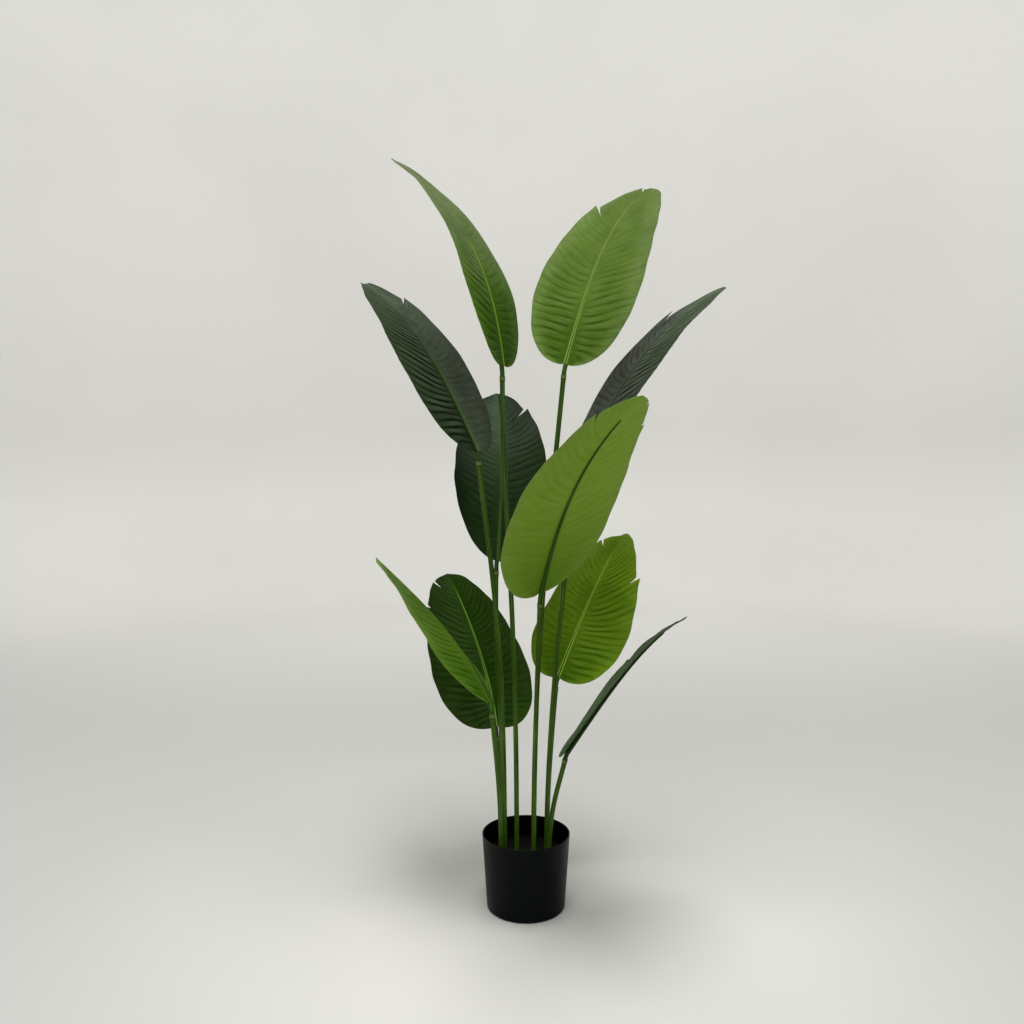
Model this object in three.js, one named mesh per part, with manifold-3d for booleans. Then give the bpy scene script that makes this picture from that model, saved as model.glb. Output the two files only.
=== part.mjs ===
// Potted banana plant: ten long leaves, each plugged into the socket of its own slim stem.
// The stems stand in plain holes in the weighted fill of a tapered pot.
// Millimetres and degrees, +Z up, origin at the centre of the pot's foot, -Y is the front.

import * as THREE from 'three';
import { mergeVertices } from 'three/addons/utils/BufferGeometryUtils.js';
import Module from 'manifold-3d';

const wasm = await Module();
wasm.setup();

// Pot and fill
const POT = { height: 152, rimRadius: 87.5, footRadius: 78, chamfer: 3, wall: 2.6, floor: 4, sides: 48 };
const FILL = { top: 112, gap: 0.3, crown: 3, crest: 0.8 };
const HOLE = { bottom: 42, clearance: 0.4, sides: 10 };

// Stems and their sockets
const STEM = { radius: 4.8, sides: 8, standOff: 0.3, rings: 8 };
const SOCKET = { radius: 5.9, length: 13, chamfer: 1.2, bore: 3.7, depth: 11 };

// Petiole and midrib, one rod that thins out towards the tip
const PETIOLE = { length: 18, radius: 4.5, plug: 3.4, gap: 0.3, sides: 6, rings: 3 };
const RIB = { base: 4.6, tip: 1.1, slimming: 0.8, end: 0.88, rings: 10, sunk: 0.95 };

// Blade
const BLADE = { thickness: 1, ends: [0.004, 0.014, 0.986, 0.996] };
const PLEAT = { height: 1.3, rise: 3, fade: 0.4 };
const WAVE = { height: 1.2, count: 3.5, shift: 0.2 };
const VEIN = { baseSweep: -0.15, fullSweep: 1.2, settled: 0.9, rise: 0.9, curve: 1.6 };
const RUFFLE = { depth: 0.006, count: 8.5, shift: 0.1 };
const TEAR = { halfWidth: 0.01, earReach: 0.03, lossReach: 0.12, clear: 0.75 };
const ACROSS = [0, 0.5, 1];

const LARGE = { widest: 0.3, taper: 0.98, wedge: 0.53, stations: 30 };
const SMALL = { widest: 0.285, taper: 1.05, wedge: 0.53, stations: 24 };

const COLOUR = {
  pot: 0x10161a,
  fill: 0x15171a,
  stem: 0x3f6b2b,
  lightLeaf: 0x5c8a2f,
  darkLeaf: 0x1f4a25,
};

// Each leaf: where its blade starts, its length and half width, and pairs of angles at base and tip.
// Heading turns from +X towards +Y, lean is away from upright, roll turns about the midrib, and
// the two folds raise the halves of the blade. A tear is [side, place along the leaf, depth, ear,
// loss]: the blade stands proud by the ear below the tear, and is narrower by the loss past it.
// Its stem: where it stands in the pot, its slopes at the top, and how long it stays straight.
const PLANTS = [
  {
    name: 'top_left', form: LARGE, colour: 'lightLeaf', phase: 0.1,
    base: [-44, 0, 1075], length: 498, half: 108, heading: [133, 171], lean: [10, 58], bend: 1.25,
    roll: [-12, -4], foldRight: [-7, 18], foldLeft: [16, -9], curl: [-5, -5],
    tears: [[1, 0.748, 0.4, 0.2, 0.35]],
    foot: [-18.5, 0], slope: [0, 0.04], straight: [0.58, 0.29],
  },
  {
    name: 'top_right', form: LARGE, colour: 'lightLeaf', phase: 0.35,
    base: [75, 40, 1080], length: 490, half: 110, heading: [53, 43], lean: [26, 61], bend: 2.1,
    roll: [-15, -5], foldRight: [0, 5], foldLeft: [8, 3], curl: [-4, -4],
    tears: [[-1, 0.685, 0.3, 0.1, 0.06], [-1, 0.955, 0.9, 0.3, 0]],
    foot: [15.5, 22], slope: [0.1, 0.12], straight: [0.44, 0.3],
  },
  {
    name: 'middle_left', form: LARGE, colour: 'darkLeaf', phase: 0.6,
    base: [-94, 0, 913], length: 489, half: 104, heading: [134, 138], lean: [34, 61], bend: 1.7,
    roll: [-7, -6], foldRight: [-4, 9], foldLeft: [2, 7], curl: [-4, -4],
    tears: [[1, 0.769, 0.34, 0.06, 0.1], [-1, 0.88, 0.24, 0.05, 0.08]],
    foot: [-42.5, -10], slope: [-0.11, 0.15], straight: [0.6, 0.27],
  },
  {
    name: 'middle_back', form: LARGE, colour: 'darkLeaf', phase: 0.85,
    base: [-57, 60, 690], length: 490, half: 105, heading: [86, 98], lean: [39, 56], bend: 1.6,
    roll: [-28, 0], foldRight: [3, 3], foldLeft: [13, -1], curl: [-4, -4],
    tears: [[1, 0.759, 0.34, 0.05, 0.05]],
    foot: [-43.5, 12], slope: [0.03, 0.24], straight: [0.43, 0.29],
  },
  {
    name: 'middle_right', form: LARGE, colour: 'darkLeaf', phase: 0.2,
    base: [103, 50, 883], length: 490, half: 108, heading: [20, 14], lean: [30, 67], bend: 2.2,
    roll: [8, -5], foldRight: [0, 4], foldLeft: [8, -7], curl: [-4, -4],
    tears: [[-1, 0.664, 0.36, 0.14, 0.2], [1, 0.942, 0.5, 0, 0]],
    foot: [41.5, 12], slope: [0.135, 0.06], straight: [0.33, 0.28],
  },
  {
    name: 'front', form: LARGE, colour: 'lightLeaf', phase: 0.45,
    base: [25, -60, 646], length: 488, half: 115, heading: [-75, -34], lean: [36, 51], bend: 1.9,
    roll: [-10, -2], foldRight: [-11, 14], foldLeft: [12, -4], curl: [-4, -4],
    tears: [[1, 0.761, 0.2, 0.04, 0.03], [-1, 0.88, 0.12, 0.03, 0], [-1, 0.713, 0.06, 0, 0.03]],
    foot: [15, -26], slope: [0.02, -0.2], straight: [0.43, 0.28],
  },
  {
    name: 'low_right', form: SMALL, colour: 'lightLeaf', phase: 0.7,
    base: [65, 60, 452], length: 374, half: 107, heading: [58, 50], lean: [43, 48], bend: 1.6,
    roll: [-23, 19], foldRight: [-19, 20], foldLeft: [-24, 25], curl: [-4, -4],
    tears: [[-1, 0.825, 0.28, 0.03, 0], [1, 0.518, 0.16, 0.03, 0.05]],
    foot: [43.5, 42], slope: [0.09, 0.24], straight: [0.39, 0.3],
  },
  {
    name: 'low_left', form: SMALL, colour: 'darkLeaf', phase: 0.95,
    base: [-61, 55, 351], length: 382, half: 110, heading: [98, 129], lean: [44, 43], bend: 0.8,
    roll: [4, -3], foldRight: [-16, 6], foldLeft: [-12, 2], curl: [-6, -6],
    tears: [[-1, 0.83, 0.3, 0.03, 0], [-1, 0.633, 0.08, 0, 0.03]],
    foot: [-42, 42], slope: [-0.12, 0.28], straight: [0.45, 0.29],
  },
  {
    name: 'low_front', form: SMALL, colour: 'lightLeaf', phase: 0.3,
    base: [-68, -63, 434], length: 398, half: 101, heading: [121, 190], lean: [52, 45], bend: 1.55,
    roll: [-14, -4], foldRight: [-45, -18], foldLeft: [14, -12], curl: [12, 4],
    tears: [],
    foot: [-49.5, -34], slope: [-0.08, 0.05], straight: [0.5, 0.3],
  },
  {
    name: 'low_edge', form: SMALL, colour: 'darkLeaf', phase: 0.55,
    base: [79, -30, 331], length: 386, half: 108, heading: [-35, -59], lean: [35, 59], bend: 3,
    roll: [-12, -18], foldRight: [1, 5], foldLeft: [18, -1], curl: [1, -10],
    tears: [[1, 0.62, 0.3, 0.03, 0.2]],
    foot: [46, -14], slope: [0.2, -0.18], straight: [0.48, 0.32],
  },
];

const UP = new THREE.Vector3(0, 0, 1);
const MIDRIB_SAMPLES = 120;
const JOINED = 1e-4;

const degrees = THREE.MathUtils.degToRad;
const lerp = THREE.MathUtils.lerp;
const clamp = THREE.MathUtils.clamp;

function vector(values) {
  return new THREE.Vector3(...values);
}

function sum(start, ...terms) {
  const out = start.clone();
  for (const [axis, amount] of terms) out.addScaledVector(axis, amount);
  return out;
}

// Direction of the midrib with the axes across it and out of the upper face, at fraction t
function leafFrame(leaf, t) {
  const turned = Math.pow(clamp(t, 0, 1), leaf.bend);
  const heading = degrees(lerp(...leaf.heading, turned));
  const lean = degrees(lerp(...leaf.lean, turned));
  const roll = degrees(lerp(...leaf.roll, clamp(t, 0, 1)));
  const out = new THREE.Vector3(Math.cos(heading), Math.sin(heading), 0);
  const along = sum(new THREE.Vector3(), [out, Math.sin(lean)], [UP, Math.cos(lean)]);
  const upper = sum(new THREE.Vector3(), [out, -Math.cos(lean)], [UP, Math.sin(lean)]);
  const side = new THREE.Vector3().crossVectors(along, upper);
  const across = sum(new THREE.Vector3(), [side, Math.cos(roll)], [upper, Math.sin(roll)]);
  const normal = sum(new THREE.Vector3(), [side, -Math.sin(roll)], [upper, Math.cos(roll)]);
  return { along, across, normal };
}

// The midrib as a function of the distance along it; past its ends it runs on straight
function midribOf(leaf) {
  const step = leaf.length / MIDRIB_SAMPLES;
  const points = [vector(leaf.base)];
  for (let i = 0; i < MIDRIB_SAMPLES; i += 1) {
    const { along } = leafFrame(leaf, (i + 0.5) / MIDRIB_SAMPLES);
    points.push(sum(points[i], [along, step]));
  }
  return (distance) => {
    const frame = leafFrame(leaf, distance / leaf.length);
    const place = clamp(distance / step, 0, MIDRIB_SAMPLES);
    const i = Math.min(Math.floor(place), MIDRIB_SAMPLES - 1);
    const point = points[i].clone().lerp(points[i + 1], place - i);
    point.addScaledVector(frame.along, distance - place * step);
    return { point, ...frame };
  };
}

// Half width of the blade: nearly an ellipse up to its widest place, then a long taper
function halfWidth(leaf, t) {
  const { widest, taper, wedge } = leaf.form;
  if (t < widest) return leaf.half * (1 - (1 - t / widest) ** 2) ** wedge;
  return leaf.half * (1 - ((t - widest) / (1 - widest)) ** 2) ** taper;
}

// How far the margin reaches, as a share of the half width: it ruffles a little, and tears cut in
function marginReach(leaf, side, t) {
  const ruffle = RUFFLE.count * t + leaf.phase + side * RUFFLE.shift;
  let reach = 1 + RUFFLE.depth * Math.sin(2 * Math.PI * ruffle);
  for (const [tornSide, place, depth, ear, loss] of leaf.tears) {
    if (tornSide !== side) continue;
    const off = (t - place) / TEAR.halfWidth;
    reach -= depth * Math.max(0, 1 - Math.abs(off));
    const inside = TEAR.halfWidth * (1 - Math.abs(off));
    if (off < 0) reach += ear * Math.exp(inside / TEAR.earReach);
    if (off > 0) reach -= loss * Math.exp(inside / TEAR.lossReach);
  }
  return reach;
}

// A point of the blade: t along the midrib, s out along the vein, lift off the middle surface
function bladePoint(leaf, midrib, side, t, s, lift) {
  const reach = s * marginReach(leaf, side, t);
  const out = halfWidth(leaf, t) * reach;
  const settled = clamp(t / VEIN.settled, 0, 1) ** VEIN.rise;
  const vein = lerp(VEIN.baseSweep, VEIN.fullSweep, settled);
  const sweep = vein * halfWidth(leaf, t) * reach ** VEIN.curve;
  const { point, across, normal } = midrib(leaf.length * t + sweep);
  const [fold, curl] = side > 0 ? [leaf.foldRight, leaf.curl[0]] : [leaf.foldLeft, leaf.curl[1]];
  const tilt = degrees(lerp(...fold, t) + curl * reach / 2);
  const relief = Math.min(1, PLEAT.rise * s) * (1 - PLEAT.fade * s * s);
  const pleat = PLEAT.height * relief * Math.cos(Math.PI * leaf.form.stations * t);
  const turn = WAVE.count * t + leaf.phase + side * WAVE.shift;
  const wave = WAVE.height * s * s * Math.sin(2 * Math.PI * turn);
  const height = lift + pleat + wave;
  return sum(
    point,
    [across, side * (out * Math.cos(tilt) - height * Math.sin(tilt))],
    [normal, out * Math.sin(tilt) + height * Math.cos(tilt)],
  );
}

// Places along the leaf that carry a row of vertices: one at each pleat, three at each tear
function stationsOf(leaf) {
  const spacing = 1 / leaf.form.stations;
  const torn = leaf.tears.map(([, place]) => place);
  const places = [...BLADE.ends];
  for (let i = 1; i < leaf.form.stations; i += 1) {
    const place = i * spacing;
    if (torn.every((tear) => Math.abs(tear - place) > TEAR.clear * spacing)) places.push(place);
  }
  for (const place of torn) places.push(place - TEAR.halfWidth, place, place + TEAR.halfWidth);
  return places.sort((a, b) => a - b);
}

// Closed body from points and triangles, joined and cut through manifold-3d
function solidFrom(points, triangles) {
  return new wasm.Manifold(new wasm.Mesh({
    numProp: 3,
    vertProperties: Float32Array.from(points.flatMap((point) => point.toArray())),
    triVerts: Uint32Array.from(triangles.flat()),
  }));
}

function solidOf(geometry) {
  const bare = geometry.clone();
  bare.deleteAttribute('normal');
  bare.deleteAttribute('uv');
  const merged = mergeVertices(bare, JOINED);
  return new wasm.Manifold(new wasm.Mesh({
    numProp: 3,
    vertProperties: new Float32Array(merged.attributes.position.array),
    triVerts: new Uint32Array(merged.index.array),
  }));
}

function geometryOf(solid) {
  const mesh = solid.getMesh();
  const geometry = new THREE.BufferGeometry();
  geometry.setAttribute('position', new THREE.BufferAttribute(mesh.vertProperties, 3));
  geometry.setIndex(new THREE.BufferAttribute(mesh.triVerts, 1));
  geometry.computeVertexNormals();
  return geometry;
}

// Thin waved sheet: both faces use the same diagonals, and a narrow edge runs round it
function bladeSolid(leaf, midrib) {
  const rows = stationsOf(leaf);
  const columns = [...ACROSS.slice(1).reverse().map((s) => [-1, s]), ...ACROSS.map((s) => [1, s])];
  const points = [];
  for (const lift of [BLADE.thickness / 2, -BLADE.thickness / 2]) {
    for (const t of rows) {
      for (const [side, s] of columns) points.push(bladePoint(leaf, midrib, side, t, s, lift));
    }
  }
  const wide = columns.length;
  const under = rows.length * wide;
  const triangles = [];
  const edge = (a, b) => triangles.push([a, a + under, b], [b, a + under, b + under]);
  for (let row = 0; row + 1 < rows.length; row += 1) {
    for (let column = 0; column + 1 < wide; column += 1) {
      const a = row * wide + column;
      const [b, c, d] = [a + 1, a + wide + 1, a + wide];
      const pair = columns[column][0] > 0 ? [[a, b, c], [a, c, d]] : [[a, b, d], [b, c, d]];
      for (const [p, q, r] of pair) triangles.push([p, q, r], [p + under, r + under, q + under]);
    }
    edge((row + 1) * wide, row * wide);
    edge(row * wide + wide - 1, (row + 1) * wide + wide - 1);
  }
  for (let column = 0; column + 1 < wide; column += 1) {
    edge(column, column + 1);
    edge(under - wide + column + 1, under - wide + column);
  }
  return solidFrom(points, triangles);
}

// Rod through a list of rings { centre, along, radius }, closed at both ends
function rodSolid(rings, sides, reference) {
  const points = [];
  for (const { centre, along, radius } of rings) {
    const u = sum(reference, [along, -reference.dot(along)]).normalize();
    const v = new THREE.Vector3().crossVectors(along, u);
    for (let k = 0; k < sides; k += 1) {
      const turn = 2 * Math.PI * (k + 0.5) / sides;
      points.push(sum(centre, [u, radius * Math.cos(turn)], [v, radius * Math.sin(turn)]));
    }
  }
  const triangles = [];
  for (let ring = 0; ring + 1 < rings.length; ring += 1) {
    for (let k = 0; k < sides; k += 1) {
      const [a, b] = [ring * sides + k, ring * sides + (k + 1) % sides];
      triangles.push([a, b, b + sides], [a, b + sides, a + sides]);
    }
  }
  const first = points.push(rings[0].centre.clone()) - 1;
  const last = points.push(rings.at(-1).centre.clone()) - 1;
  const top = (rings.length - 1) * sides;
  for (let k = 0; k < sides; k += 1) {
    const next = (k + 1) % sides;
    triangles.push([first, next, k], [last, top + k, top + next]);
  }
  return solidFrom(points, triangles);
}

// Where the midrib's rod starts, where the stem's socket opens, and the way the socket points
function jointOf(leaf) {
  const { along, normal } = leafFrame(leaf, 0);
  const out = new THREE.Vector3(...leaf.slope, 1).normalize();
  const ribStart = sum(vector(leaf.base), [normal, -RIB.sunk * RIB.base]);
  const corner = sum(ribStart, [along, -PETIOLE.length / 2]);
  const mouth = sum(corner, [out, -PETIOLE.length / 2]);
  return { along, normal, out, ribStart, corner, mouth };
}

// Plug, shoulder, bent petiole and the rib under the blade, as one rod
function ribSolid(leaf, midrib) {
  const { along, normal, out, ribStart, corner, mouth } = jointOf(leaf);
  const shoulder = sum(mouth, [out, PETIOLE.gap]);
  const rings = [
    { centre: sum(mouth, [out, PETIOLE.gap - SOCKET.depth]), along: out, radius: PETIOLE.plug },
    { centre: shoulder, along: out, radius: PETIOLE.plug },
    { centre: shoulder, along: out, radius: PETIOLE.radius },
  ];
  const bend = new THREE.QuadraticBezierCurve3(shoulder, corner, ribStart);
  for (let i = 1; i < PETIOLE.rings; i += 1) {
    const u = i / PETIOLE.rings;
    rings.push({ centre: bend.getPoint(u), along: bend.getTangent(u), radius: PETIOLE.radius });
  }
  for (let i = 0; i <= RIB.rings; i += 1) {
    const t = RIB.end * i / RIB.rings;
    const radius = lerp(RIB.base, RIB.tip, Math.pow(t, RIB.slimming));
    const frame = midrib(leaf.length * t);
    const centre = sum(frame.point, [frame.normal, -RIB.sunk * radius]);
    rings.push({ centre, along: frame.along, radius });
  }
  return rodSolid(rings, PETIOLE.sides, normal);
}

function leafGeometry(leaf) {
  const midrib = midribOf(leaf);
  return geometryOf(bladeSolid(leaf, midrib).add(ribSolid(leaf, midrib)));
}

// Stem: straight in the fill, one long bend above it, and a socket with a blind bore at the top
function stemGeometry(leaf) {
  const { out, mouth } = jointOf(leaf);
  const soil = new THREE.Vector3(...leaf.foot, FILL.top);
  const rise = mouth.z - soil.z;
  const route = new THREE.CubicBezierCurve3(
    soil,
    sum(soil, [UP, rise * leaf.straight[0]]),
    sum(mouth, [out, -rise * leaf.straight[1]]),
    mouth,
  );
  const rings = [
    { centre: new THREE.Vector3(...leaf.foot, HOLE.bottom + STEM.standOff), along: UP, radius: STEM.radius },
  ];
  const socketShare = 1 - SOCKET.length / route.getLength();
  for (let i = 0; i <= STEM.rings; i += 1) {
    const u = socketShare * i / STEM.rings;
    rings.push({ centre: route.getPointAt(u), along: route.getTangentAt(u), radius: STEM.radius });
  }
  const stops = [
    [-SOCKET.length + SOCKET.chamfer, SOCKET.radius],
    [0, SOCKET.radius],
  ];
  for (const [back, radius] of stops) rings.push({ centre: sum(mouth, [out, back]), along: out, radius });
  const bore = [-SOCKET.depth, SOCKET.chamfer].map((back) => (
    { centre: sum(mouth, [out, back]), along: out, radius: SOCKET.bore }
  ));
  const reference = new THREE.Vector3(1, 0, 0);
  const body = rodSolid(rings, STEM.sides, reference);
  return geometryOf(body.subtract(rodSolid(bore, STEM.sides, reference)));
}

// Outer radius of the pot's straight wall at a height
function potRadius(z) {
  return lerp(POT.footRadius, POT.rimRadius, z / POT.height);
}

function turned(profile) {
  const geometry = new THREE.LatheGeometry(profile.map(([r, z]) => new THREE.Vector2(r, z)), POT.sides);
  return geometry.rotateX(Math.PI / 2);
}

function potGeometry() {
  const inner = (z) => potRadius(z) - POT.wall;
  const profile = [
    [0, 0],
    [POT.footRadius - POT.chamfer, 0],
    [potRadius(POT.chamfer), POT.chamfer],
    [POT.rimRadius, POT.height],
    [inner(POT.height), POT.height],
    [inner(POT.floor), POT.floor],
    [0, POT.floor],
  ];
  return geometryOf(solidOf(turned(profile)));
}

// Weighted fill: fits the pot, a little higher in the middle, one blind hole for each stem
function fillGeometry() {
  const outer = (z) => potRadius(z) - POT.wall - FILL.gap;
  const low = POT.floor + FILL.gap;
  const edge = FILL.top - FILL.crown;
  const crest = FILL.crest * outer(edge);
  const profile = [[0, low], [outer(low), low], [outer(edge), edge], [crest, FILL.top], [0, FILL.top]];
  const body = solidOf(turned(profile));
  const radius = (STEM.radius + HOLE.clearance) / Math.cos(Math.PI / HOLE.sides);
  return geometryOf(PLANTS.reduce((solid, leaf) => {
    const ends = [HOLE.bottom, FILL.top + FILL.crown].map((z) => (
      { centre: new THREE.Vector3(...leaf.foot, z), along: UP, radius }
    ));
    return solid.subtract(rodSolid(ends, HOLE.sides, new THREE.Vector3(1, 0, 0)));
  }, body));
}

const MATERIAL = {
  pot: { color: COLOUR.pot, roughness: 0.42, metalness: 0 },
  fill: { color: COLOUR.fill, roughness: 0.95, metalness: 0 },
  stem: { color: COLOUR.stem, roughness: 0.5, metalness: 0 },
  lightLeaf: { color: COLOUR.lightLeaf, roughness: 0.5, metalness: 0 },
  darkLeaf: { color: COLOUR.darkLeaf, roughness: 0.42, metalness: 0 },
};

function part(name, geometry, finish) {
  const mesh = new THREE.Mesh(geometry, new THREE.MeshStandardMaterial(MATERIAL[finish]));
  mesh.name = name;
  return mesh;
}

const plant = new THREE.Group();
plant.name = 'potted_banana_plant';
plant.add(part('pot', potGeometry(), 'pot'));
plant.add(part('fill', fillGeometry(), 'fill'));
for (const leaf of PLANTS) {
  plant.add(part(`stem_${leaf.name}`, stemGeometry(leaf), 'stem'));
  plant.add(part(`leaf_${leaf.name}`, leafGeometry(leaf), leaf.colour));
}

export default plant;
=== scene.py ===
# Potted banana plant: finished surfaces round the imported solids.
# Leaf, stem and pot sizes are in millimetres as in the solid model; meshes are made in metres.
# +Z is up and -Y is the front.
import math

import bpy
import numpy as np
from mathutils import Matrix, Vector


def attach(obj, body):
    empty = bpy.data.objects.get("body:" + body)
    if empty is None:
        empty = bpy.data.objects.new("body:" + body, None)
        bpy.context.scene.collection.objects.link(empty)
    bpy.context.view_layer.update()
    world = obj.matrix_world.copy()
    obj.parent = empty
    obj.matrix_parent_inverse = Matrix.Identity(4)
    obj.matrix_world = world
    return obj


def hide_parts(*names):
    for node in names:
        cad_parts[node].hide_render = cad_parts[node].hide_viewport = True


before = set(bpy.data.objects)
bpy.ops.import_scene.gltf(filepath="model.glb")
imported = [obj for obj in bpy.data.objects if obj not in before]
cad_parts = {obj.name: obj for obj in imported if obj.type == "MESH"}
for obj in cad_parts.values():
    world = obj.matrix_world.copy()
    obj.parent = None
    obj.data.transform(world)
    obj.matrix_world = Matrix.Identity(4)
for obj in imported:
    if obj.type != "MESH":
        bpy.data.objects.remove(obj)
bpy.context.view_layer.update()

MM = 0.001
UP = np.array([0.0, 0.0, 1.0])

# Camera: focal length in pixels of a square frame, place in metres, and degrees that it looks down.
FRAME_PIXELS = 1024
FOCAL_PIXELS = 1000
SENSOR_MM = 36
CAMERA_AT = (-0.028, -1.9295, 0.981)
CAMERA_PITCH = 5.5

# Lights: place, point aimed at, width and height in metres, watts and tint.
SOFT_LIGHTS = {
    "overhead": ((0.2, -0.4, 5.5), (0, 0.1, 0.6), (2.4, 2.4), 262, (1.0, 0.992, 0.972)),
    "front": ((-0.6, -3.0, 2.6), (0, 0, 0.7), (3.4, 2.6), 59, (1.0, 0.99, 0.965)),
}
ROOM_LIGHT = {"colour": (1.0, 0.995, 0.97, 1.0), "strength": 0.3}

# Backdrop: the flat floor's radii, the radius of its turn up into the wall, and the wall's top.
BACKDROP = {"middle": 60, "flat": 3200, "turn": 900, "top": 3800}
BACKDROP_MESH = {"floor_rings": 24, "turn_rings": 16, "sides": 96}

# Pot and fill. The pot has its outer radii at the rim and the foot. The top of the fill drops by
# its crown towards the wall, and "rough" is how deep its crumbs are. The crumbs are a sum of seeded
# waves round one size, over a range of octaves, with a falloff for the short ones.
POT = {"height": 152, "rim": 87.5, "foot": 78, "wall": 2.6, "floor": 4, "round": 5, "lip": 1.2}
POT_MESH = {"middle": 20, "outer_rings": 24, "inner_rings": 16, "lip_rings": 7, "sides": 144}
FILL = {"top": 112, "gap": 0.5, "crown": 3, "crown_from": 0.8, "rough": 1.1, "sunk": 0.3}
FILL_MESH = {"middle": 0.02, "rings": 46, "sides": 160}
CRUMBS = {"seed": 11, "size": 9.0, "waves": 60, "octaves": (-1.6, 1.0), "falloff": 0.6, "calm": 8}

# Stems. A flute is a shallow groove down one side.
STEM = {"radius": 4.8, "rings": 90, "sides": 28, "in_fill": 18.0, "samples": 800}
FLUTE = {"depth": 0.12, "turn": 1.35 * np.pi, "width": 0.35}

# Sockets: their rings over the shoulder as shares of it, their rings below the mouth, and how far
# the last of these draw in to round the mouth.
SOCKET = {"radius": 5.4, "length": 10, "shoulder": 3}
SHOULDER_RINGS = (-0.55, -0.25, 0, 0.25, 0.55)
MOUTH_RINGS = (8, 4, 1.1, 0.5, 0.15, 0)
MOUTH_ROUNDING = (0.15, 0.45, 1.0)

# Petioles, and the midribs that go on from them. A midrib is sunk below the blade by a share of its
# own radius, which slims from base to tip.
PETIOLE = {"length": 18, "radius": 4.5, "gap": 0.3, "rings": 10}
RIB = {"base": 4.6, "tip": 0.9, "slimming": 0.8, "end": 0.88, "rings": 70, "sunk": 0.95, "sides": 20}
MIDRIB_SAMPLES = 400

# Blade: its first and last row as shares of its length, its columns to each side, and the share of
# the half width at which an extra column keeps the margin crisp.
BLADE = {"thickness": 0.8, "first": 0.002, "last": 0.9985, "across": 26, "spread": 1.45, "crisp": 0.988}
VEIN = {"base_sweep": -0.15, "full_sweep": 1.2, "settled": 0.9, "rise": 0.9, "curve": 1.6}
RUFFLE = {"depth": 0.006, "count": 8.5, "shift": 0.1}
WAVE = {"height": 1.2, "count": 3.5, "shift": 0.2}
TEAR = {"half_width": 0.01, "ear_reach": 0.03, "loss_reach": 0.12}
TEAR_ROWS = (-1, -0.75, -0.5, -0.25, -0.05, 0, 0.05, 0.25, 0.5, 0.75, 1)

# Pleats: rows of vertices to each, height, width of a crease and level that counts as flat; how far
# off the midrib they start and are full; where along the leaf they start and where they fade
# towards the tip; and how they fade towards the margin.
PLEAT = {
    "rows": 10, "height": 2.2, "crease": 0.17, "level": 0.7,
    "off_rib": (6, 22), "start": 0.03, "fading": (0.2, 0.5),
    "margin": (0.5, 1), "margin_loss": 0.8, "margin_curve": 1.5,
}

# Slow waves over half a blade: height, turns along it and across it, share of the leaf's own phase,
# and shift between the halves.
UNEVEN_DEPTH = (0.25, 9.7, 0.9, 2, 0.4)
PLEAT_DRIFT = [(0.3, 2.7, 0.5, 1, 0.3), (0.07, 8.3, -1.1, 3, -0.2)]

# Upper side of the midrib: a groove between two low ridges, which slim towards the tip. Its printed
# line has a half width at the tip, is wider at the base, and fades out over a share of the leaf.
GROOVE = {"slimming": 0.6, "depth": 0.8, "width": 1.4}
RIDGE = {"height": 0.7, "width": 1.2, "off": 2.6, "least_off": 0.4}
PRINTED_LINE = {"tip": 1.1, "wider": 2.6, "fade": 0.1}

LARGE = {"widest": 0.3, "taper": 0.98, "wedge": 0.53}
SMALL = {"widest": 0.285, "taper": 1.05, "wedge": 0.53}

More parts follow.
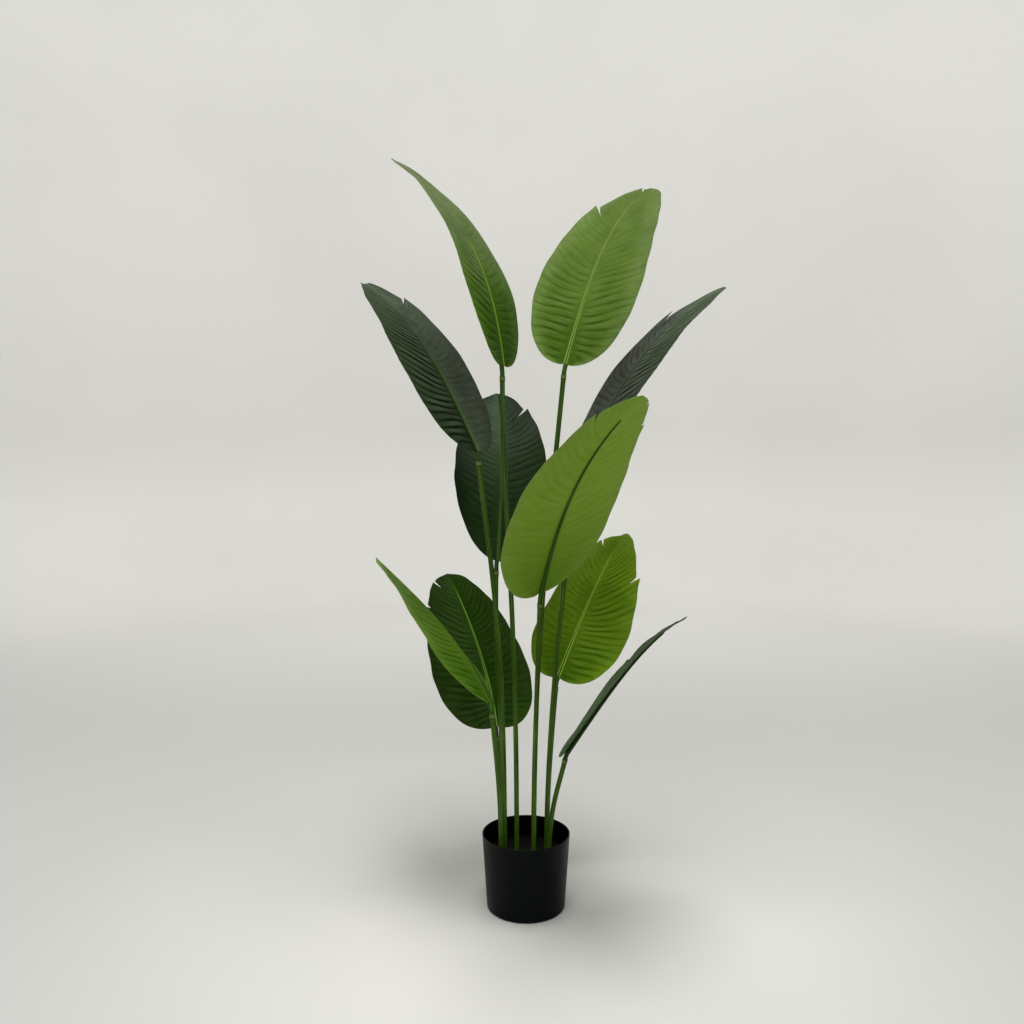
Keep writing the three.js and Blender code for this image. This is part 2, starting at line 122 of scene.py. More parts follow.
# Leaves. Their shape is as in the solid model: base, length and half width; heading, lean and roll
# in degrees and the fold of each half, all at base and tip; the curl of the right and left half;
# tears as (side, place along the leaf, depth, ear, loss); and the stem's foot, its slopes at the
# mouth and how much of it is straight at its foot and mouth.
# Their finish is the tone; the number of pleats, their depth left and right and what is left of it
# at the tip; for the left and the right half, each at base and tip, how bright it is, as the leaf's
# own tone with painted light and shade, and how much painted sheen it has; how bright the left and
# right margins are; and how light the midrib line is and where along the leaf it ends.
PLANTS = [
    dict(
        name="top_left", form=LARGE, tone="faded", phase=0.1,
        pleats=31, relief=(0.8, 0.45), fade=0.5,
        tone_and_painted_light=((0.88, 0.48), (0.84, 0.58)), painted_sheen=((-0.55, 1.15), (-0.55, 1.15)),
        edge=(1.15, 0.88), line=(0.9, 0.58),
        base=(-44, 0, 1075), length=498, half=108, heading=(133, 171), lean=(10, 58), bend=1.25,
        roll=(-12, -4), fold_right=(-7, 18), fold_left=(16, -9), curl=(-5, -5),
        tears=[(1, 0.748, 0.4, 0.2, 0.35)],
        foot=(-18.5, 0), slope=(0, 0.04), straight=(0.58, 0.29),
    ),
    dict(
        name="top_right", form=LARGE, tone="olive", phase=0.35,
        pleats=31, relief=(0.9, 0.8), fade=0.2,
        tone_and_painted_light=((1.0, 0.55), (1.0, 0.6)), painted_sheen=((-0.1, 0.35), (-0.05, 0.4)),
        edge=(0.98, 0.84), line=(0.5, 0.92),
        base=(75, 40, 1080), length=490, half=110, heading=(53, 43), lean=(26, 61), bend=2.1,
        roll=(-15, -5), fold_right=(0, 5), fold_left=(8, 3), curl=(-4, -4),
        tears=[(-1, 0.685, 0.3, 0.1, 0.06), (-1, 0.955, 0.9, 0.3, 0)],
        foot=(15.5, 22), slope=(0.1, 0.12), straight=(0.44, 0.3),
    ),
    dict(
        name="middle_left", form=LARGE, tone="dark", phase=0.6,
        pleats=31, relief=(1.0, 0.2), fade=0.8,
        tone_and_painted_light=((0.85, 1.08), (1.1, 0.75)), painted_sheen=((-0.1, 0.45), (1.0, 0.9)),
        edge=(0.95, 0.5), line=(0.6, 0.6),
        base=(-94, 0, 913), length=489, half=104, heading=(134, 138), lean=(34, 61), bend=1.7,
        roll=(-7, -6), fold_right=(-4, 9), fold_left=(2, 7), curl=(-4, -4),
        tears=[(1, 0.769, 0.34, 0.06, 0.1), (-1, 0.88, 0.24, 0.05, 0.08)],
        foot=(-42.5, -10), slope=(-0.11, 0.15), straight=(0.6, 0.27),
    ),
    dict(
        name="middle_back", form=LARGE, tone="dusk", phase=0.85,
        pleats=29, relief=(0.7, 0.6), fade=0.8,
        tone_and_painted_light=((1.5, 0.72), (1.0, 0.34)), painted_sheen=((-0.4, 0.8), (-0.6, 0.3)),
        edge=(0.38, 0.8), line=(0.3, 0.9),
        base=(-57, 60, 690), length=490, half=105, heading=(86, 98), lean=(39, 56), bend=1.6,
        roll=(-28, 0), fold_right=(3, 3), fold_left=(13, -1), curl=(-4, -4),
        tears=[(1, 0.759, 0.34, 0.05, 0.05)],
        foot=(-43.5, 12), slope=(0.03, 0.24), straight=(0.43, 0.29),
    ),
    dict(
        name="middle_right", form=LARGE, tone="dark", phase=0.2,
        pleats=31, relief=(0.5, 1.0), fade=0.8,
        tone_and_painted_light=((0.95, 0.32), (0.46, 1.25)), painted_sheen=((0.8, 1), (0, 0.5)),
        edge=(0.75, 0.9), line=(0.2, 0.9),
        base=(103, 50, 883), length=490, half=108, heading=(20, 14), lean=(30, 67), bend=2.2,
        roll=(8, -5), fold_right=(0, 4), fold_left=(8, -7), curl=(-4, -4),
        tears=[(-1, 0.664, 0.36, 0.14, 0.2), (1, 0.942, 0.5, 0, 0)],
        foot=(41.5, 12), slope=(0.135, 0.06), straight=(0.33, 0.28),
    ),
    dict(
        name="front", form=LARGE, tone="light", phase=0.45,
        pleats=27, relief=(0.5, 0.5), fade=1,
        tone_and_painted_light=((1.12, 1.2), (1.06, 1.12)), painted_sheen=((0, 0), (0, 0)),
        edge=(1.02, 1.0), line=(0.5, 0.9),
        base=(25, -60, 646), length=488, half=115, heading=(-75, -34), lean=(36, 51), bend=1.9,
        roll=(-10, -2), fold_right=(-11, 14), fold_left=(12, -4), curl=(-4, -4),
        tears=[(1, 0.761, 0.2, 0.04, 0.03), (-1, 0.88, 0.12, 0.03, 0), (-1, 0.713, 0.06, 0, 0.03)],
        foot=(15, -26), slope=(0.02, -0.2), straight=(0.43, 0.28),
    ),
    dict(
        name="low_right", form=SMALL, tone="lime", phase=0.7,
        pleats=29, relief=(0.5, 1.0), fade=0.9,
        tone_and_painted_light=((1.16, 1.02), (1.3, 1.3)), painted_sheen=((-0.1, 0.25), (0, 0.15)),
        edge=(0.92, 1.02), line=(0.8, 0.93),
        base=(65, 60, 452), length=374, half=107, heading=(58, 50), lean=(43, 48), bend=1.6,
        roll=(-23, 19), fold_right=(-19, 20), fold_left=(-24, 25), curl=(-4, -4),
        tears=[(-1, 0.825, 0.28, 0.03, 0), (1, 0.518, 0.16, 0.03, 0.05)],
        foot=(43.5, 42), slope=(0.09, 0.24), straight=(0.39, 0.3),
    ),
    dict(
        name="low_left", form=SMALL, tone="deep", phase=0.95,
        pleats=29, relief=(0.7, 0.6), fade=1,
        tone_and_painted_light=((1.8, 1.6), (1.6, 1.55)), painted_sheen=((0.1, 0.3), (0, 0)),
        edge=(0.58, 1), line=(1.0, 0.93),
        base=(-61, 55, 351), length=382, half=110, heading=(98, 129), lean=(44, 43), bend=0.8,
        roll=(4, -3), fold_right=(-16, 6), fold_left=(-12, 2), curl=(-6, -6),
        tears=[(-1, 0.83, 0.3, 0.03, 0), (-1, 0.633, 0.08, 0, 0.03)],
        foot=(-42, 42), slope=(-0.12, 0.28), straight=(0.45, 0.29),
    ),
    dict(
        name="low_front", form=SMALL, tone="light", phase=0.3,
        pleats=23, relief=(1.0, 0.6), fade=0.6,
        tone_and_painted_light=((0.96, 1.42), (1.1, 1.5)), painted_sheen=((-0.35, 0.3), (-0.35, 0.3)),
        edge=(1, 1.15), line=(0.4, 0.9),
        base=(-68, -63, 434), length=398, half=101, heading=(121, 190), lean=(52, 45), bend=1.55,
        roll=(-14, -4), fold_right=(-45, -18), fold_left=(14, -12), curl=(12, 4),
        tears=[],
        foot=(-49.5, -34), slope=(-0.08, 0.05), straight=(0.5, 0.3),
    ),
    dict(
        name="low_edge", form=SMALL, tone="deep", phase=0.55,
        pleats=29, relief=(0.7, 0.7), fade=0.8,
        tone_and_painted_light=((1.7, 0.9), (1.7, 0.9)), painted_sheen=((0.1, -0.9), (0.1, -0.9)),
        edge=(1.35, 1.35), line=(0.4, 0.9),
        base=(79, -30, 331), length=386, half=108, heading=(-35, -59), lean=(35, 59), bend=3,
        roll=(-12, -18), fold_right=(1, 5), fold_left=(18, -1), curl=(1, -10),
        tears=[(1, 0.62, 0.3, 0.03, 0.2)],
        foot=(46, -14), slope=(0.2, -0.18), straight=(0.48, 0.32),
    ),
]

# Finishes of the blades, in display values out of 255: upper side in its shadows, as printed and
# with painted sheen; the midrib line dark and light; and the underside, its own paler colour made
# brighter as painted light shining through the leaf. Then the range of roughness and the gloss, and
# how strongly rims and crests take painted sheen and creases darken, as printed veins and painted
# shade.
TONES = {
    "light": dict(
        slot="leaf_light_green",
        deep=(42, 74, 0), body=(72, 106, 6), pale=(116, 136, 74), line=((60, 92, 14), (138, 164, 48)),
        under=(116, 146, 48), under_deep=(86, 122, 12), rough=(0.42, 0.54), gloss=0.02,
        rim=0.45, crest=0.25, valley=1.1,
    ),
    "faded": dict(
        slot="leaf_light_green",
        deep=(38, 72, 0), body=(72, 104, 18), pale=(130, 142, 100), line=((60, 92, 14), (132, 158, 44)),
        under=(114, 146, 46), under_deep=(92, 126, 26), rough=(0.42, 0.54), gloss=0.02,
        rim=0.25, crest=0.35, valley=1.0,
    ),
    "lime": dict(
        slot="leaf_light_green",
        deep=(46, 76, 0), body=(81, 112, 6), pale=(118, 142, 50), line=((60, 92, 14), (136, 162, 60)),
        under=(114, 146, 46), under_deep=(92, 126, 26), rough=(0.42, 0.54), gloss=0.02,
        rim=0.3, crest=0.3, valley=1.1,
    ),
    "olive": dict(
        slot="leaf_light_green",
        deep=(48, 76, 0), body=(84, 110, 28), pale=(124, 146, 92), line=((66, 92, 24), (146, 168, 92)),
        under=(114, 146, 46), under_deep=(92, 126, 26), rough=(0.42, 0.54), gloss=0.02,
        rim=0.5, crest=0.25, valley=1.0,
    ),
    "dark": dict(
        slot="leaf_dark_green",
        deep=(10, 28, 2), body=(34, 54, 22), pale=(88, 101, 80), line=((24, 58, 10), (88, 132, 40)),
        under=(60, 88, 40), under_deep=(44, 70, 26), rough=(0.38, 0.5), gloss=0.05,
        rim=0.1, crest=0.8, valley=2.2,
    ),
    "dusk": dict(
        slot="leaf_dark_green",
        deep=(10, 32, 2), body=(29, 53, 12), pale=(74, 90, 70), line=((24, 58, 10), (88, 132, 40)),
        under=(60, 88, 40), under_deep=(44, 70, 26), rough=(0.38, 0.5), gloss=0.06,
        rim=0, crest=0.35, valley=1.1,
    ),
    "deep": dict(
        slot="leaf_dark_green",
        deep=(12, 36, 0), body=(32, 56, 2), pale=(68, 88, 50), line=((20, 50, 4), (96, 134, 46)),
        under=(40, 66, 20), under_deep=(26, 50, 10), rough=(0.42, 0.52), gloss=0.02,
        rim=0.15, crest=0.35, valley=1.2,
    ),
}


def mix(pair, share):
    return pair[0] + (pair[1] - pair[0]) * share


def ramp(value, low, high):
    """0 up to low, 1 from high on and straight between."""
    return np.clip((value - low) / (high - low), 0, 1)


def swing(turn):
    return np.sin(2 * np.pi * turn)


def bell(off, width):
    return np.exp(-(off / width) ** 2)


def unit(v):
    return v / np.linalg.norm(v, axis=-1, keepdims=True)


def run_along(points):
    """Distance from the first point to each point of a line."""
    return np.concatenate([[0], np.cumsum(np.linalg.norm(np.diff(points, axis=0), axis=1))])


def leaf_frame(leaf, t):
    """Directions along the midrib, across it and out of the upper face at fractions t."""
    t = np.clip(np.asarray(t, float), 0, 1)
    turned = t ** leaf["bend"]
    heading = np.radians(mix(leaf["heading"], turned))[..., None]
    lean = np.radians(mix(leaf["lean"], turned))[..., None]
    roll = np.radians(mix(leaf["roll"], t))[..., None]
    out = np.concatenate([np.cos(heading), np.sin(heading), 0 * heading], -1)
    along = np.sin(lean) * out + np.cos(lean) * UP
    upper = -np.cos(lean) * out + np.sin(lean) * UP
    side = np.cross(along, upper)
    across = np.cos(roll) * side + np.sin(roll) * upper
    normal = -np.sin(roll) * side + np.cos(roll) * upper
    return along, across, normal


def midrib_of(leaf):
    """Returns a function from distance along the midrib to its point and frame."""
    step = leaf["length"] / MIDRIB_SAMPLES
    along = leaf_frame(leaf, (np.arange(MIDRIB_SAMPLES) + 0.5) / MIDRIB_SAMPLES)[0]
    points = np.vstack([leaf["base"], leaf["base"] + np.cumsum(along * step, 0)])

    def at(distance):
        frame_here = leaf_frame(leaf, distance / leaf["length"])
        place = np.clip(distance / step, 0, MIDRIB_SAMPLES)
        i = np.minimum(place.astype(int), MIDRIB_SAMPLES - 1)
        share = (place - i)[..., None]
        point = points[i] * (1 - share) + points[i + 1] * share
        point = point + frame_here[0] * (distance - place * step)[..., None]
        return point, *frame_here

    return at


def half_width(leaf, t):
    """Blunt from the base to the widest place, then a long taper to the tip."""
    widest = leaf["form"]["widest"]
    low = np.clip(1 - (1 - t / widest) ** 2, 0, 1) ** leaf["form"]["wedge"]
    high = np.clip(1 - ((t - widest) / (1 - widest)) ** 2, 0, 1) ** leaf["form"]["taper"]
    return leaf["half"] * np.where(t < widest, low, high)


def margin_reach(leaf, side, t):
    """How far the margin reaches as a share of the half width, with its ruffle and tears."""
    ruffle = RUFFLE["count"] * t + leaf["phase"] + side * RUFFLE["shift"]
    reach = 1 + RUFFLE["depth"] * swing(ruffle)
    for torn_side, place, depth, ear, loss in leaf["tears"]:
        if torn_side != side:
            continue
        off = (t - place) / TEAR["half_width"]
        reach -= depth * np.clip(1 - np.abs(off), 0, 1)
        inside = TEAR["half_width"] * (1 - np.abs(off))
        reach += np.where(off < 0, ear * np.exp(inside / TEAR["ear_reach"]), 0)
        reach -= np.where(off > 0, loss * np.exp(inside / TEAR["loss_reach"]), 0)
    return reach


def slow_wave(wave, leaf, side, t, s):
    height, along, across, phase, shift = wave
    return height * swing(along * t + across * s + phase * leaf["phase"] + shift * side)


def pleat_strength(leaf, side, t, s, out):
    """How deep the pleats are: full near the base, fading to the midrib, the margin and the tip."""
    inner = ramp(out, *PLEAT["off_rib"])
    outer = 1 - PLEAT["margin_loss"] * ramp(s, *PLEAT["margin"]) ** PLEAT["margin_curve"]
    fade = mix((1, leaf["fade"]), ramp(t, *PLEAT["fading"]))
    uneven = 1 - UNEVEN_DEPTH[0] + slow_wave(UNEVEN_DEPTH, leaf, side, t, s)
    return leaf["relief"][side > 0] * inner * outer * fade * uneven * ramp(t, 0, PLEAT["start"])


def pleat_ripple(leaf, side, t, s):
    """1 on the broad crest of a pleat and 0 in the narrow crease over its vein."""
    drift = sum(slow_wave(wave, leaf, side, t, s) for wave in PLEAT_DRIFT)
    off = (leaf["pleats"] * t + drift + 0.5) % 1 - 0.5
    return 1 - bell(off, PLEAT["crease"])


def pleat_relief(leaf, side, t, s, out):
    """Height of the pleats, and of the grooved midrib with its two low ridges."""
    height = PLEAT["height"] * pleat_strength(leaf, side, t, s, out)
    size = (1 - t) ** GROOVE["slimming"]
    ridges = RIDGE["height"] * size * bell(out - RIDGE["off"] * size - RIDGE["least_off"], RIDGE["width"])
    groove = GROOVE["depth"] * size * bell(out, GROOVE["width"])
    return height * (pleat_ripple(leaf, side, t, s) - PLEAT["level"]) + ridges - groove


def blade_points(leaf, midrib, side, t, s, lift):
    """Points of one half of a blade, s from midrib to margin, lifted along its normal."""
    reach = s * margin_reach(leaf, side, t)
    out = half_width(leaf, t) * reach
    settled = ramp(t, 0, VEIN["settled"]) ** VEIN["rise"]
    vein = mix((VEIN["base_sweep"], VEIN["full_sweep"]), settled)
    sweep = vein * half_width(leaf, t) * reach ** VEIN["curve"]
    point, _, across, normal = midrib(leaf["length"] * t + sweep)
    fold = leaf["fold_right"] if side > 0 else leaf["fold_left"]
    curl = leaf["curl"][0] if side > 0 else leaf["curl"][1]
    tilt = np.radians(mix(fold, t) + curl * reach / 2)
    turn = WAVE["count"] * t + leaf["phase"] + side * WAVE["shift"]
    wave = WAVE["height"] * s * s * swing(turn)
    height = lift + pleat_relief(leaf, side, t, s, out) + wave
    spread = side * (out * np.cos(tilt) - height * np.sin(tilt))
    rise = out * np.sin(tilt) + height * np.cos(tilt)
    return point + across * spread[..., None] + normal * rise[..., None]


def blade_rows(leaf):
    """Places along a leaf of its rows of vertices: even ones, and close ones round its tears."""
    count = leaf["pleats"] * PLEAT["rows"]
    places = set((np.arange(1, count) / count).round(6))
    places |= {BLADE["first"], 2 * BLADE["first"], BLADE["last"]}
    for _, place, *_ in leaf["tears"]:
        places |= {round(place + off * TEAR["half_width"], 6) for off in TEAR_ROWS}
    rows = np.array(sorted(places))
    rows = rows[(rows >= BLADE["first"]) & (rows <= BLADE["last"])]
    apart = np.concatenate([[True], np.diff(rows) > 1e-5])
    return rows[apart]


def add_mesh(name, points, faces, material, attributes=None):
    """Mesh object from points in millimetres and faces of any number of corners, smooth shaded."""
    mesh = bpy.data.meshes.new(name)
    mesh.from_pydata((np.asarray(points) * MM).tolist(), [], [list(map(int, f)) for f in faces])
    mesh.polygons.foreach_set("use_smooth", [True] * len(mesh.polygons))
    for key, values in (attributes or {}).items():
        layer = mesh.attributes.new(key, "FLOAT", "POINT")
        layer.data.foreach_set("value", np.asarray(values, np.float32).ravel())
    mesh.update()
    mesh.materials.append(material)
    piece = bpy.data.objects.new(name, mesh)
    bpy.context.scene.collection.objects.link(piece)
    return piece


def sheet_faces(rows, columns, offset=0, flip=False):
    i, j = np.meshgrid(np.arange(rows - 1), np.arange(columns - 1), indexing="ij")
    a = (offset + i * columns + j).ravel()
    quads = np.stack([a, a + 1, a + columns + 1, a + columns], -1)
    return quads[:, ::-1] if flip else quads


def rim_faces(rows, columns):
    """Quads that join the borders of an upper sheet and the lower sheet that follows it."""
    under = rows * columns
    border = np.concatenate([
        np.arange(columns),
        np.arange(2, rows + 1) * columns - 1,
        under - 1 - np.arange(1, columns),
        np.arange(rows - 2, 0, -1) * columns,
    ])
    following = np.roll(border, -1)
    return np.stack([border, border + under, following + under, following], -1)


def ring_faces(rings, sides, outward=True):
    """Quads between the neighbouring rings of a tube that faces outward, or inward."""
    i, j = np.meshgrid(np.arange(rings - 1), np.arange(sides), indexing="ij")
    a = (i * sides + j).ravel()
    b = (i * sides + (j + 1) % sides).ravel()
    corners = [a, b, b + sides, a + sides] if outward else [a, a + sides, b + sides, b]
    return np.stack(corners, -1).tolist()


def end_caps(rings, sides, outward=True):
    """The first and the last ring of a tube as faces."""
    first = np.arange(sides)
    last = first + (rings - 1) * sides
    caps = [first[::-1], last] if outward else [first, last[::-1]]
    return [cap.tolist() for cap in caps]


def blade_finish(leaf, t, s, left):
    """What the blade's material reads at each vertex of one sheet."""
    out = half_width(leaf, t) * s
    strength = np.where(left, *(pleat_strength(leaf, side, t, s, out) for side in (-1, 1))).clip(0, 1)
    ripple = np.where(left, *(pleat_ripple(leaf, side, t, s) for side in (-1, 1)))
    edge = 1 + (np.where(left, *leaf["edge"]) - 1) * s ** 2
    lightness, line_end = leaf["line"]
    return {
        "along": t,
        "outward": s,
        "off_rib": out,
        "valley": (1 - ripple) * strength,
        "crest": ripple * strength,
        # Painted sheen over each half, from base to tip.
        "painted_sheen": np.where(left, *(mix(pair, t) for pair in leaf["painted_sheen"])),
        # Each leaf's own tone, with painted light and shade along each half, scaled towards the margins.
        "tone_and_painted_light": edge * np.where(left, *(mix(pair, t) for pair in leaf["tone_and_painted_light"])),
        "line": np.full(t.shape, lightness),
        "lined": np.clip((line_end - t) / PRINTED_LINE["fade"], 0, 1),
    }


def blade_mesh(leaf, midrib, material):
    steps = (np.arange(BLADE["across"] + 1) / BLADE["across"]) ** BLADE["spread"]
    steps = np.sort(np.append(steps, BLADE["crisp"]))
    left = np.arange(2 * len(steps) - 1) < len(steps) - 1
    columns = np.concatenate([steps[:0:-1], steps])
    t, s = np.meshgrid(blade_rows(leaf), columns, indexing="ij")
    sheets = []
    for lift in (BLADE["thickness"] / 2, -BLADE["thickness"] / 2):
        sheet = np.empty(t.shape + (3,))
        for half, side in ((left, -1), (~left, 1)):
            sheet[:, half] = blade_points(leaf, midrib, side, t[:, half], s[:, half], lift)
        sheets.append(sheet.reshape(-1, 3))
    faces = np.vstack([
        sheet_faces(*t.shape),
        sheet_faces(*t.shape, offset=t.size, flip=True),
        rim_faces(*t.shape),
    ])
    finish = {key: np.tile(values.ravel(), 2) for key, values in blade_finish(leaf, t, s, left).items()}
    finish["underside"] = np.repeat([0.0, 1.0], t.size)
    return add_mesh(f"blade_{leaf['name']}", np.vstack(sheets), faces, material, finish)


def rod_mesh(name, centres, directions, radii, sides, reference, material, flute=0.0):
    """Closed rod through rings of the given radii, with a flute along it."""
    along = unit(np.asarray(directions, float))
    u = unit(reference - along * (along @ reference)[:, None])
    v = np.cross(along, u)
    turn = 2 * np.pi * np.arange(sides) / sides
    section = 1 - flute * bell(turn - FLUTE["turn"], FLUTE["width"])
    spokes = (np.cos(turn) * section)[:, None] * u[:, None] + (np.sin(turn) * section)[:, None] * v[:, None]
    points = np.asarray(centres)[:, None] + np.asarray(radii, float)[:, None, None] * spokes
    rings = len(points)
    run = run_along(centres)
    attributes = {
        "turn": np.tile(turn / (2 * np.pi), rings),
        "run": np.repeat(run, sides),
        "to_end": np.repeat(run[-1] - run, sides),
    }
    faces = ring_faces(rings, sides) + end_caps(rings, sides)
    return add_mesh(name, points.reshape(-1, 3), faces, material, attributes)


def joint_of(leaf):
    """Where a leaf meets its stem: the leaf's normal, the socket's direction, and three points."""
    along, _, normal = leaf_frame(leaf, 0.0)
    out = unit(np.array([*leaf["slope"], 1.0]))
    rib_start = np.array(leaf["base"], float) - normal * RIB["sunk"] * RIB["base"]
    corner = rib_start - along * PETIOLE["length"] / 2
    mouth = corner - out * PETIOLE["length"] / 2
    return normal, out, rib_start, corner, mouth


def bezier(points, u):
    """Points and directions at fractions u of the Bezier curve of the given points."""
    u = np.asarray(u, float)[:, None]
    n = len(points) - 1
    place = sum(math.comb(n, k) * (1 - u) ** (n - k) * u ** k * points[k] for k in range(n + 1))
    slope = sum(
        math.comb(n - 1, k) * (1 - u) ** (n - 1 - k) * u ** k * (points[k + 1] - points[k])
        for k in range(n)
    )
    return place, unit(slope)


def rib_mesh(leaf, midrib, material):
    """Petiole and midrib in one: a bend out of the socket, then a thinning rod under the blade."""
    normal, out, rib_start, corner, mouth = joint_of(leaf)
    shoulder = mouth + out * PETIOLE["gap"]
    centres, directions = bezier([shoulder, corner, rib_start], np.linspace(0, 1, PETIOLE["rings"])[:-1])
    radii = np.full(len(centres), float(PETIOLE["radius"]))
    t = RIB["end"] * np.linspace(0, 1, RIB["rings"])
    thin = RIB["base"] + (RIB["tip"] - RIB["base"]) * t ** RIB["slimming"]
    point, along, _, upward = midrib(leaf["length"] * t)
    centres = np.vstack([centres, point - upward * (RIB["sunk"] * thin)[:, None]])
    directions = np.vstack([directions, along])
    radii = np.concatenate([radii, thin])
    return rod_mesh(f"rib_{leaf['name']}", centres, directions, radii, RIB["sides"], normal, material)


def stem_mesh(leaf, material):
    """Stem from inside the fill to the rounded mouth of its socket."""
    _, out, _, _, mouth = joint_of(leaf)
    soil = np.array([*leaf["foot"], FILL["top"]], float)
    rise = mouth[2] - soil[2]
    straight_foot, straight_mouth = leaf["straight"]
    curve = [soil, soil + UP * rise * straight_foot, mouth - out * rise * straight_mouth, mouth]
    even = np.linspace(0, 1, STEM["samples"])
    run = run_along(bezier(curve, even)[0])
    widens = run[-1] - SOCKET["length"]
    stops = np.concatenate([
        np.linspace(0, widens - SOCKET["shoulder"], STEM["rings"]),
        widens + np.array(SHOULDER_RINGS) * SOCKET["shoulder"],
        run[-1] - np.array(MOUTH_RINGS),
    ])
    centres, directions = bezier(curve, np.interp(stops, run, even))
    half_shoulder = SOCKET["shoulder"] / 2
    growth = ramp(stops, widens - half_shoulder, widens + half_shoulder)
    growth = growth * growth * (3 - 2 * growth)
    radii = mix((STEM["radius"], SOCKET["radius"]), growth)
    radii[-len(MOUTH_ROUNDING):] -= MOUTH_ROUNDING
    below = np.array([*leaf["foot"], FILL["top"] - STEM["in_fill"]])
    centres = np.vstack([below, centres])
    directions = np.vstack([UP, directions])
    radii = np.concatenate([[STEM["radius"]], radii])
    reference = np.array([1.0, 0.0, 0.0])
    name = f"tube_{leaf['name']}"
    return rod_mesh(name, centres, directions, radii, STEM["sides"], reference, material, FLUTE["depth"])


def pot_radius(z):
    return mix((POT["foot"], POT["rim"]), z / POT["height"])


def arc(cx, cz, radius, start, end, steps):
    angles = np.radians(np.linspace(start, end, steps))
    return [(cx + radius * math.cos(a), cz + radius * math.sin(a)) for a in angles]


def lathe_mesh(name, profile, sides, material, last_cap=True):
    """Turned body from a profile of radii and heights."""
    turn = 2 * np.pi * np.arange(sides) / sides
    profile = np.asarray(profile, float)
    points = np.stack([
        profile[:, :1] * np.cos(turn),
        profile[:, :1] * np.sin(turn),
        np.repeat(profile[:, 1:], sides, 1),
    ], -1)
    caps = end_caps(len(profile), sides)
    faces = ring_faces(len(profile), sides) + (caps if last_cap else caps[:1])
    return add_mesh(name, points.reshape(-1, 3), faces, material)


def pot_profile():
    """From the middle of the underside, up the outside, over the lip and down to the inside floor.

    The arcs stop short of the straight stretches, so that no two rings fall together.
    """
    foot, top, wall, lip = POT["round"], POT["height"], POT["wall"], POT["lip"]
    outside = np.linspace(foot + 2, top - lip - 0.5, POT_MESH["outer_rings"])
    inside = np.linspace(top - 4, POT["floor"], POT_MESH["inner_rings"])
    profile = [(POT_MESH["middle"], 0), (pot_radius(0) - foot, 0)]
    profile += arc(pot_radius(foot) - foot, foot, foot, -85, -4, 8)
    profile += [(pot_radius(z), z) for z in outside]
    profile += arc(pot_radius(top) - lip, top - lip, lip, 4, 90, POT_MESH["lip_rings"])
    profile += arc(pot_radius(top) - wall + lip, top - lip, lip, 92, 176, POT_MESH["lip_rings"])
    profile += [(pot_radius(z) - wall, z) for z in inside]
    return profile + [(POT_MESH["middle"], POT["floor"])]


def crumb_relief(x, y):
    """Smooth random relief: seeded waves of many lengths and directions."""
    draw = np.random.default_rng(CRUMBS["seed"])
    total = np.zeros_like(x)
    for _ in range(CRUMBS["waves"]):
        length = CRUMBS["size"] * 2 ** draw.uniform(*CRUMBS["octaves"])
        direction = draw.uniform(0, 2 * np.pi)
        phase = draw.uniform(0, 2 * np.pi)
        share = (length / CRUMBS["size"]) ** CRUMBS["falloff"]
        distance = x * np.cos(direction) + y * np.sin(direction)
        total += share * np.cos(2 * np.pi * distance / length + phase)
    return total / CRUMBS["calm"]


def fill_mesh(material):
    """Rough crowned top and tapered side of the fill."""
    low = POT["floor"] + FILL["gap"]
    foot = pot_radius(low) - POT["wall"] - FILL["gap"]
    outer = pot_radius(FILL["top"] - FILL["crown"]) - POT["wall"] - FILL["gap"]
    rings, sides = FILL_MESH["rings"], FILL_MESH["sides"]
    share = np.linspace(FILL_MESH["middle"], 1, rings)
    turn = 2 * np.pi * np.arange(sides) / sides
    r, a = np.meshgrid(share * outer, turn, indexing="ij")
    x, y = r * np.cos(a), r * np.sin(a)
    crown = FILL["top"] - FILL["crown"] * ramp(r / outer, FILL["crown_from"], 1)
    z = crown - FILL["rough"] * np.abs(crumb_relief(x, y)) - FILL["sunk"]
    wall = np.stack([foot * np.cos(turn), foot * np.sin(turn), np.full(sides, low)], -1)
    points = np.vstack([np.stack([x, y, z], -1).reshape(-1, 3), wall])
    faces = ring_faces(rings + 1, sides, outward=False) + end_caps(rings + 1, sides, outward=False)
    return add_mesh("fill_block", points, faces, material)


def linear(r, g, b):
    """Linear colour from display values out of 255."""
    def one(c):
        c /= 255
        return c / 12.92 if c <= 0.04045 else ((c + 0.055) / 1.055) ** 2.4
    return one(r), one(g), one(b), 1.0


